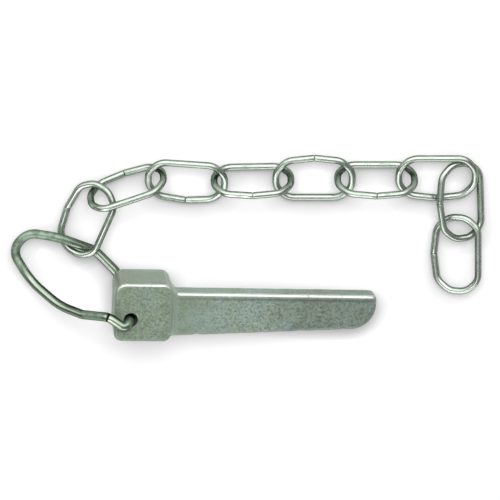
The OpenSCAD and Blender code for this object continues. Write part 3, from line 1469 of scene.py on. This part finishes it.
@dataclass(frozen=True)
class Studio:
    """A white table under soft light, and the camera that looks down on it.

    The camera's target, distance and view_wide are in millimetres, and lean is its angle from
    straight down. Painted shade darkens the table where a piece lies within contact_reach metres
    of it, along contact_lean. fill is the room's even light. Reflections see a room of brightness
    wall, with a ceiling and softboxes.
    """

    target: tuple[float, float, float] = (1.04, -6.0, 0.0)
    distance: float = 900.0
    lean: float = 15.0
    view_wide: float = 208.33
    sensor: float = 36.0
    clip_end: float = 20.0
    floor_half: float = 3.0
    floor_white: float = 0.95
    floor_glow: float = 0.35
    floor_roughness: float = 0.9
    contact_samples: int = 12
    contact_reach: float = 0.009
    contact_lean: tuple[float, float, float] = (0.0, 0.8, 0.6)
    contact_depth: float = -0.4
    contact_lost_in_metal: float = 0.5
    fill: float = 0.52
    wall: float = 0.08
    ceiling: float = 0.34
    ceiling_from: float = 0.75
    softboxes_above: Span = (0.05, 0.2)
    softboxes: tuple[Softbox, ...] = (
        Softbox(low=(-1.10, 0.22), high=(0.70, 1.10), glow=1.7, soft=0.12),
        Softbox(low=(-0.70, -1.00), high=(0.70, -0.80), glow=1.9),
        Softbox(low=(-0.65, -0.75), high=(-0.12, -0.34), glow=2.2),
    )
    lamp: SoftLamp = SoftLamp("window", at=(0.0, 0.42, 0.91), wide=0.55, deep=0.45, power=8.6)

    def camera(self) -> None:
        """Places the camera above the table, leaning to the chain's side."""
        lean = math.radians(self.lean)
        back = Vector((0, math.sin(lean), math.cos(lean)))
        up = Vector((0, math.cos(lean), -math.sin(lean)))
        data = bpy.data.cameras.new("camera")
        data.sensor_width = self.sensor
        data.lens = self.sensor * self.distance / self.view_wide
        data.clip_end = self.clip_end
        made = bpy.data.objects.new("camera", data)
        turn = Matrix((Vector((1, 0, 0)), up, back)).transposed().to_4x4()
        place = (Vector(self.target) + back * self.distance) * MM
        made.matrix_world = Matrix.Translation(place) @ turn
        bpy.context.scene.collection.objects.link(made)
        bpy.context.scene.camera = made

    def table(self) -> bpy.types.Object:
        """Makes the white table top.

        Returns:
            The table top, with its finish.
        """
        mesh = bmesh.new()
        bmesh.ops.create_grid(mesh, x_segments=1, y_segments=1, size=self.floor_half / MM)
        made = finish_mesh("table_top", mesh)
        made.data.materials.append(self._table_finish())
        return made

    def _table_finish(self) -> bpy.types.Material:
        """Mixes a matt white that is white to the camera and keeps the pieces' shadows.

        Returns:
            The material.
        """
        recipe = Recipe("table_white")
        # Painted shade: ambient occlusion darkens the table's colour round the pieces, by less in
        # reflections.
        lean = recipe.node("ShaderNodeCombineXYZ", {}, dict(enumerate(self.contact_lean)))
        contact = recipe.node(
            "ShaderNodeAmbientOcclusion", {"samples": self.contact_samples},
            {"Distance": self.contact_reach, "Normal": recipe.get(lean, 0)},
        )
        shade = recipe.ramp(recipe.get(contact, "AO"), 0.0, 1.0, (self.contact_depth, 1.0))
        path = recipe.node("ShaderNodeLightPath", {}, {})
        in_metal = recipe.get(path, "Is Glossy Ray") * self.contact_lost_in_metal
        shade = shade + (shade * -1.0 + 1.0) * in_metal
        recipe.feed("Base Color", recipe.blend(shade, (0.0, 0.0, 0.0), (self.floor_white,) * 3))
        recipe.feed("Roughness", self.floor_roughness)
        recipe.feed("Specular IOR Level", 0.0)
        seen = recipe.get(path, "Is Camera Ray") * self.floor_glow
        glow = recipe.get(recipe.node("ShaderNodeEmission", {}, {"Strength": 1.0}), "Emission")
        mixed = recipe.mixed(seen, recipe.surface, glow)
        recipe.plug(recipe.out.inputs["Surface"], mixed)
        return recipe.material

    def light(self) -> None:
        """Sets a world that is white to look at, even as fill, and a room in reflections."""
        self.lamp.hang()
        world = bpy.data.worlds.new("room")
        world.use_nodes = True
        book = NodeBook(world.node_tree)
        way = book.get(book.node("ShaderNodeTexCoord", {}, {}), "Generated")
        axes = book.node("ShaderNodeSeparateXYZ", {}, {0: way})
        overhead = book.ramp(book.get(axes, "Z"), self.ceiling_from, 1.0)
        room = overhead * (self.ceiling - self.wall) + self.wall
        for box in self.softboxes:
            room = room + box.shine(book, axes, self.softboxes_above)
        path = book.node("ShaderNodeLightPath", {}, {})
        mirror, even, seen = (
            book.get(book.node(
                "ShaderNodeBackground", {}, {"Color": (1, 1, 1, 1), "Strength": strength}
            ), 0)
            for strength in (room, self.fill, 1.0)
        )
        lit = book.mixed(book.get(path, "Is Glossy Ray"), even, mirror)
        whole = book.mixed(book.get(path, "Is Camera Ray"), lit, seen)
        book.node("ShaderNodeOutputWorld", {}, {"Surface": whole})
        bpy.context.scene.world = world


# ---- the whole part ----


def pin_finish(layout: Layout) -> bpy.types.Material:
    """Mixes the pin's finish, pitted at the tip of the blade and yellowed on the head.

    Args:
        layout: where the pieces lie.

    Returns:
        The material.
    """
    return ForgedZinc(coarse_at=layout.lay(104, 9, 17), olive_at=layout.lay(12, 12, 24)).make()


def ring_finish(layout: Layout) -> bpy.types.Material:
    """Mixes the ring's finish, dull at the knee, at the elbow and round the far bow.

    Args:
        layout: where the pieces lie.

    Returns:
        The material.
    """
    return WireZinc(
        name="ring_zinc",
        bright=(0.48, 0.56, 0.46),
        dull=(0.36, 0.47, 0.36),
        edge=(0.09, 0.12, 0.09),
        # flank colours the painted shade on the wire's flanks, and its dull mottle.
        flank=(0.06, 0.095, 0.06),
        roughness=0.12,
        dulling=0.3,
        dull_spots=(
            (layout.knee, 7.0),
            (layout.elbow, 3.4),
            (layout.loop_at(along=53, aside=0, height=5), 19.0),
            (layout.loop_at(along=46, aside=-9, height=7), 15.0),
        ),
    ).make()


def chain_finish() -> bpy.types.Material:
    """Mixes the links' finish, the brightest of the three.

    Returns:
        The material.
    """
    return WireZinc(
        name="chain_zinc",
        bright=(0.68, 0.75, 0.67),
        dull=(0.50, 0.60, 0.50),
        edge=(0.25, 0.31, 0.25),
        # flank colours the painted shade on the wire's flanks, and its dull mottle.
        flank=(0.12, 0.165, 0.12),
        roughness=0.18,
        dulling=0.5,
    ).make()


def dress(made: bpy.types.Object, node: str, finish: bpy.types.Material) -> None:
    """Gives a piece its finish and its place in the object.

    Args:
        made: the piece.
        node: the solid it stands for, which is also the name of its body.
        finish: its material.
    """
    made.data.materials.clear()
    made.data.materials.append(finish)
    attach(made, node)
    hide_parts(node)
    LOG.info("%s: %d faces", made.name, len(made.data.polygons))


def main() -> None:
    """Builds the studio and every piece."""
    logging.basicConfig(level=logging.INFO, format="%(name)s: %(message)s")
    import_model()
    bpy.context.scene.view_settings.view_transform = "Standard"
    studio = Studio()
    studio.camera()
    studio.table()
    studio.light()
    layout = Layout()
    dress(WedgePin(layout).build(), "pin", pin_finish(layout))
    dress(RetainingRing(layout).build(), "ring", ring_finish(layout))
    links_finish = chain_finish()
    for number, link in enumerate(OpenChain(layout).build(), start=1):
        dress(link, f"link_{number}", links_finish)


if __name__ == "__main__":
    main()
